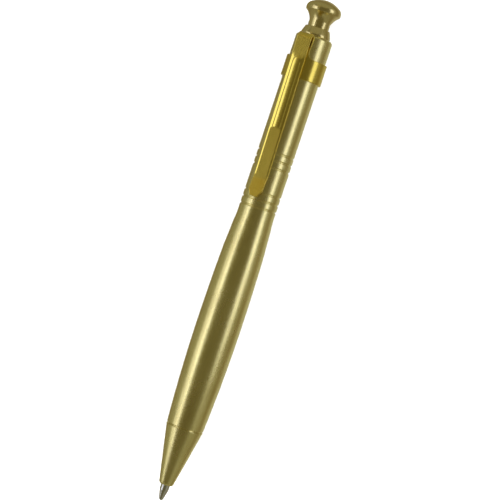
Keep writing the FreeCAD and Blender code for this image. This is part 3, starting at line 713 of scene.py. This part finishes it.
class Shader:
    """A small procedural material built from noise in object space."""

    def __init__(self, name, colour, metallic, roughness):
        self.material = bpy.data.materials.new(name)
        self.material.use_nodes = True
        self.tree = self.material.node_tree
        self.bsdf = self.tree.nodes["Principled BSDF"]
        self.bsdf.inputs["Metallic"].default_value = metallic
        self.bsdf.inputs["Base Color"].default_value = (*colour, 1.0)
        self.bsdf.inputs["Roughness"].default_value = roughness
        self.coordinates = self.tree.nodes.new("ShaderNodeTexCoord").outputs["Object"]

    def link(self, a, b):
        self.tree.links.new(a, b)

    def noise(self, scale, detail=3.0, roughness=0.55):
        """Noise with cells per metre along X, Y and Z."""
        mapping = self.tree.nodes.new("ShaderNodeMapping")
        mapping.inputs["Scale"].default_value = scale
        self.link(self.coordinates, mapping.inputs["Vector"])
        noise = self.tree.nodes.new("ShaderNodeTexNoise")
        noise.inputs["Scale"].default_value = 1.0
        noise.inputs["Detail"].default_value = detail
        noise.inputs["Roughness"].default_value = roughness
        self.link(mapping.outputs["Vector"], noise.inputs["Vector"])
        return noise.outputs["Fac"]

    def ranged(self, value, low, high, start=0.3, end=0.7):
        """A value from start to end brought to low to high, and held beyond them."""
        node = self.tree.nodes.new("ShaderNodeMapRange")
        node.inputs["From Min"].default_value = start
        node.inputs["From Max"].default_value = end
        node.inputs["To Min"].default_value = low
        node.inputs["To Max"].default_value = high
        self.link(value, node.inputs["Value"])
        return node.outputs["Result"]

    def mixed(self, factor, a, b):
        """Two colours, each a tuple or an output, mixed by a factor."""
        node = self.tree.nodes.new("ShaderNodeMix")
        node.data_type = "RGBA"
        self.link(factor, node.inputs["Factor"])
        for socket, colour in (("A", a), ("B", b)):
            target = next(i for i in node.inputs if i.name == socket and i.type == "RGBA")
            if isinstance(colour, tuple):
                target.default_value = (*colour, 1.0)
            else:
                self.link(colour, target)
        return next(o for o in node.outputs if o.type == "RGBA")

    def bump(self, height, distance):
        """Relief of a depth in metres."""
        node = self.tree.nodes.new("ShaderNodeBump")
        node.inputs["Distance"].default_value = distance
        self.link(height, node.inputs["Height"])
        self.link(node.outputs["Normal"], self.bsdf.inputs["Normal"])


# Noise cells per metre along X, Y and Z.
LENGTHWISE = (120.0, 9000.0, 9000.0)
EVEN = (2500.0, 2500.0, 2500.0)
CLOUD_CELLS = (90.0, 160.0, 160.0)
STAIN_CELLS = (60.0, 220.0, 220.0)
MOTTLE_CELLS = (400.0, 400.0, 400.0)
MATT_CELLS = (6000.0, 6000.0, 6000.0)
SPECKLE_CELLS = (900.0, 900.0, 900.0)
GRAIN_SHADE, MOTTLE_SHADE = 0.82, 0.85
MATT_DEPTH = 0.00001


def darker(colour, share):
    """A colour times a share of its brightness."""
    return tuple(c * share for c in colour)


def metal(name, colour, stain, roughness, spread, grain, grain_depth, grain_cells):
    """Brushed or polished metal: grain, uneven gloss and a few darker stains."""
    shader = Shader(name, colour, 1.0, roughness)
    fine = shader.noise(grain_cells, 4.0)
    cloud = shader.noise(CLOUD_CELLS, 3.0)
    shader.link(shader.ranged(cloud, roughness - spread, roughness + spread),
                shader.bsdf.inputs["Roughness"])
    stains = shader.ranged(shader.noise(STAIN_CELLS, 5.0, 0.6), 0.0, 0.45, 0.5, 0.8)
    base = shader.mixed(shader.ranged(fine, 0.0, grain, 0.35, 0.65), colour, darker(colour, GRAIN_SHADE))
    shader.link(shader.mixed(stains, base, stain), shader.bsdf.inputs["Base Color"])
    shader.bump(fine, grain_depth)
    return shader.material


def plastic(name, colour, roughness):
    """Moulded plastic: a fine matt texture with faint mottling."""
    shader = Shader(name, colour, 0.0, roughness)
    mottle = shader.noise(MOTTLE_CELLS, 3.0)
    shader.link(shader.mixed(shader.ranged(mottle, 0.0, 0.5), colour, darker(colour, MOTTLE_SHADE)),
                shader.bsdf.inputs["Base Color"])
    shader.link(shader.ranged(mottle, roughness - 0.05, roughness + 0.05),
                shader.bsdf.inputs["Roughness"])
    shader.bump(shader.noise(MATT_CELLS, 2.0), MATT_DEPTH)
    return shader.material


# Name, colour, colour of its stains, roughness and its spread, strength of the grain, depth of
# the grain in metres, and the grain's cells.
METALS = [
    ("barrel_brass", (0.83, 0.745, 0.335), (0.52, 0.40, 0.14), 0.26, 0.03, 0.5, 1.0e-5, LENGTHWISE),
    ("trim_brass", (0.72, 0.62, 0.28), (0.54, 0.40, 0.12), 0.22, 0.03, 0.25, 1.2e-6, EVEN),
    ("clip_gilt", (0.77, 0.62, 0.125), (0.56, 0.38, 0.06), 0.21, 0.03, 0.2, 0.5e-6, EVEN),
    ("inner_brass", (0.74, 0.60, 0.30), (0.50, 0.36, 0.12), 0.30, 0.05, 0.4, 6.0e-6, EVEN),
    ("spring_steel", (0.56, 0.56, 0.57), (0.35, 0.33, 0.31), 0.28, 0.05, 0.4, 3.0e-6, EVEN),
    ("refill_steel", (0.62, 0.62, 0.63), (0.42, 0.41, 0.40), 0.30, 0.05, 0.4, 6.0e-6, LENGTHWISE),
    ("point_nickel", (0.66, 0.66, 0.63), (0.40, 0.39, 0.35), 0.20, 0.05, 0.3, 3.0e-6, EVEN),
    ("ball_carbide", (0.40, 0.40, 0.42), (0.25, 0.25, 0.26), 0.15, 0.04, 0.3, 1.0e-6, EVEN),
]
# Name, colour and roughness.
PLASTICS = [
    ("guide_plastic", (0.72, 0.70, 0.62), 0.55),
    ("rotor_plastic", (0.80, 0.80, 0.77), 0.5),
    ("plunger_plastic", (0.02, 0.02, 0.022), 0.45),
    ("crown_plastic", (0.02, 0.05, 0.20), 0.45),
    ("ink_blue", (0.01, 0.015, 0.09), 0.2),
]
MATERIALS = {look[0]: metal(*look) for look in METALS}
MATERIALS.update({look[0]: plastic(*look) for look in PLASTICS})

SLOT_OF = {part["node"]: part["material_slot"] for part in frame["record"]["subparts"]}
for node_name, node in NODES.items():
    node.data.materials.clear()
    node.data.materials.append(MATERIALS[SLOT_OF[node_name]])


def dress(piece, node_name):
    """Gives a piece the material and the slot of the CAD node that it stands for."""
    piece.data.materials.append(MATERIALS[SLOT_OF[node_name]])
    return piece


# ---------------------------------------------------------------- the pen's pieces

TURNED = [
    (make_barrel, "barrel", "casing"),
    (make_thread_bush, "thread_bush", "casing"),
    (make_collar, "collar", "casing"),
    (make_nose_cone, "nose_cone", "nose"),
    (make_push_knob, "push_knob", "button"),
    (make_refill_point, "refill_point", "refill"),
    (make_writing_ball, "writing_ball", "refill"),
    (make_refill_adapter, "refill_adapter", "refill"),
    (make_refill_tube, "refill_tube", "refill"),
]
for make, node_name, body in TURNED:
    piece = dress(make(), node_name)
    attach(piece, body)
    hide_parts(node_name)

spring = dress(make_return_spring(), "return_spring")
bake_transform(spring)
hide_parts("return_spring")

# The clip is one mesh, from the band's ring round the fold to the leaf and its lip, and stays where it was
# built.
clip = dress(make_clip(), "clip_leaf")
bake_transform(clip)
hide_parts("clip_band", "clip_leaf")

# ---------------------------------------------------------------- floor, light, camera

MIDDLE = place(67.4)


def strip_light(name, degrees, along, distance, length, width, energy, colour):
    """A rectangular soft light that faces the pen's middle, its long side along the pen. It
    stands degrees from the zenith towards +Y, and along degrees towards the knob's end."""
    data = bpy.data.lights.new(name, "AREA")
    data.shape = "RECTANGLE"
    data.size, data.size_y = length, width
    data.energy = energy
    data.color = colour
    a, b = math.radians(degrees), math.radians(along)
    toward = Vector((math.sin(b), math.sin(a) * math.cos(b), math.cos(a) * math.cos(b))).normalized()
    across = Vector((1.0, 0.0, 0.0))
    across = (across - toward * across.dot(toward)).normalized()
    up = toward.cross(across)
    light = bpy.data.objects.new(name, data)
    light.location = MIDDLE + toward * distance
    light.rotation_euler = Matrix([[across[i], up[i], toward[i]] for i in range(3)]).to_euler()
    light.visible_camera = False
    bpy.context.scene.collection.objects.link(light)
    return light


# Name, degrees round, degrees along, distance, length and width in metres, watts, colour.
STRIPS = [
    ("key_strip", 35.0, -7.5, 0.6, 0.572, 0.17, 0.461, (1.0, 1.02, 1.22)),
    ("key_fringe", 53.0, -8.0, 0.6, 0.85, 0.17, 0.36, (1.0, 1.0, 1.1)),
    ("key_foot", 19.0, 0.0, 0.6, 0.75, 0.16, 0.032, (1.0, 0.93, 0.45)),
    ("lip_foot", 20.0, 24.0, 0.6, 0.16, 0.20, 0.017, (1.0, 0.70, 0.18)),
    ("end_glow", 0.0, 46.0, 0.6, 0.36, 0.70, 0.12, (1.0, 0.97, 0.75)),
    ("side_strip", -74.0, 14.0, 0.6, 0.52, 0.24, 0.44, (1.0, 1.03, 1.28)),
]
# The brass does not mirror the fills, which only whiten the floor.
WHITE = (1.0, 1.0, 1.0)
FILLS = [
    ("floor_fill", 0.0, 0.0, 1.2, 2.6, 2.6, 45.0, WHITE),
    ("floor_side", -68.0, 0.0, 1.0, 2.0, 1.2, 34.0, WHITE),
]

# The sky that the brass mirrors: (height of the direction, colour).
SKY = [
    (-0.95, (0.52, 0.51, 0.40)),
    (-0.8, (0.46, 0.44, 0.34)),
    (-0.66, (0.29, 0.25, 0.15)),
    (-0.45, (0.23, 0.19, 0.10)),
    (-0.2, (0.32, 0.30, 0.20)),
    (0.1, (0.29, 0.27, 0.17)),
    (0.3, (0.36, 0.35, 0.25)),
    (0.58, (0.17, 0.15, 0.08)),
    (0.8, (0.15, 0.13, 0.062)),
]
FLOOR_PALE = (0.86, 0.86, 0.86)
FLOOR_SPECK = (0.84, 0.84, 0.84)
FLOOR_HALF = 1000.0
FLOOR_HEIGHT = -BELLY_RADIUS
FLOOR_CORNERS = ((-1, -1), (1, -1), (1, 1), (-1, 1))

# The camera looks at the pen square on but for a tilt towards the knob's end, from 20 degrees
# to the right of the clip's face, and is turned so that the pen leans to the right at its top.
VIEW_TILT = math.radians(2.0)
VIEW_SIDE = math.radians(20.0)
VIEW_LEAN = math.radians(18.460)
VIEW_DISTANCE = 0.3695
AIM_RIGHT, AIM_UP = 1.736 * MM, 0.535 * MM
LENS = 103.9
SENSOR = 36.0


def add_sky():
    """The sky for the brass to mirror, behind a background that is plain white to the camera."""
    world = bpy.data.worlds.new("studio")
    bpy.context.scene.world = world
    world.use_nodes = True
    tree = world.node_tree
    background = tree.nodes["Background"]
    coordinate = tree.nodes.new("ShaderNodeTexCoord")
    split = tree.nodes.new("ShaderNodeSeparateXYZ")
    ramp = tree.nodes.new("ShaderNodeValToRGB")
    tree.links.new(coordinate.outputs["Generated"], split.inputs["Vector"])
    height = tree.nodes.new("ShaderNodeMapRange")
    height.inputs["From Min"].default_value = -1.0
    tree.links.new(split.outputs["Z"], height.inputs["Value"])
    tree.links.new(height.outputs["Result"], ramp.inputs["Fac"])
    tree.links.new(ramp.outputs["Color"], background.inputs["Color"])
    stops = ramp.color_ramp.elements
    while len(stops) < len(SKY):
        stops.new(0.5)
    for stop, (position, colour) in zip(stops, SKY):
        stop.position = (position + 1) / 2
        stop.color = (*colour, 1.0)
    background.inputs["Strength"].default_value = 1.0
    seen = tree.nodes.new("ShaderNodeLightPath")
    pale = tree.nodes.new("ShaderNodeBackground")
    pale.inputs["Color"].default_value = (*WHITE, 1.0)
    choice = tree.nodes.new("ShaderNodeMixShader")
    tree.links.new(seen.outputs["Is Camera Ray"], choice.inputs["Fac"])
    tree.links.new(background.outputs["Background"], choice.inputs[1])
    tree.links.new(pale.outputs["Background"], choice.inputs[2])
    tree.links.new(choice.outputs["Shader"], tree.nodes["World Output"].inputs["Surface"])


def add_floor():
    """The plain pale floor that the pen's belly touches."""
    floor_material = Shader("floor_white", FLOOR_PALE, 0.0, 0.9)
    speckle = floor_material.ranged(floor_material.noise(SPECKLE_CELLS, 2.0), 0.0, 1.0)
    floor_material.link(floor_material.mixed(speckle, FLOOR_PALE, FLOOR_SPECK),
                        floor_material.bsdf.inputs["Base Color"])
    floor_mesh = bpy.data.meshes.new("floor")
    floor_mesh.from_pydata([place(x * FLOOR_HALF, y * FLOOR_HALF, FLOOR_HEIGHT) for x, y in FLOOR_CORNERS],
                           [], [(0, 1, 2, 3)])
    floor = bpy.data.objects.new("floor", floor_mesh)
    bpy.context.scene.collection.objects.link(floor)
    floor.data.materials.append(floor_material.material)
    floor.visible_glossy = False


def add_camera():
    """The camera at the view named above."""
    toward = Vector((math.sin(VIEW_TILT), -math.cos(VIEW_TILT) * math.sin(VIEW_SIDE),
                     math.cos(VIEW_TILT) * math.cos(VIEW_SIDE)))
    along_pen = Vector((1.0, 0.0, 0.0))
    along_pen = (along_pen - toward * along_pen.dot(toward)).normalized()
    beside = along_pen.cross(toward)
    right = beside * math.cos(VIEW_LEAN) + along_pen * math.sin(VIEW_LEAN)
    up = along_pen * math.cos(VIEW_LEAN) - beside * math.sin(VIEW_LEAN)
    aim = MIDDLE + right * AIM_RIGHT + up * AIM_UP
    camera_data = bpy.data.cameras.new("camera")
    camera_data.lens = LENS
    camera_data.sensor_width = SENSOR
    camera_data.clip_start = 0.01
    camera = bpy.data.objects.new("camera", camera_data)
    bpy.context.scene.collection.objects.link(camera)
    camera.location = aim + toward * VIEW_DISTANCE
    camera.rotation_euler = Matrix([[right[i], up[i], toward[i]] for i in range(3)]).to_euler()
    bpy.context.scene.camera = camera
    bpy.context.scene.view_settings.view_transform = "Standard"


for strip in STRIPS:
    strip_light(*strip)
for fill in FILLS:
    strip_light(*fill).visible_glossy = False
add_sky()
add_floor()
add_camera()
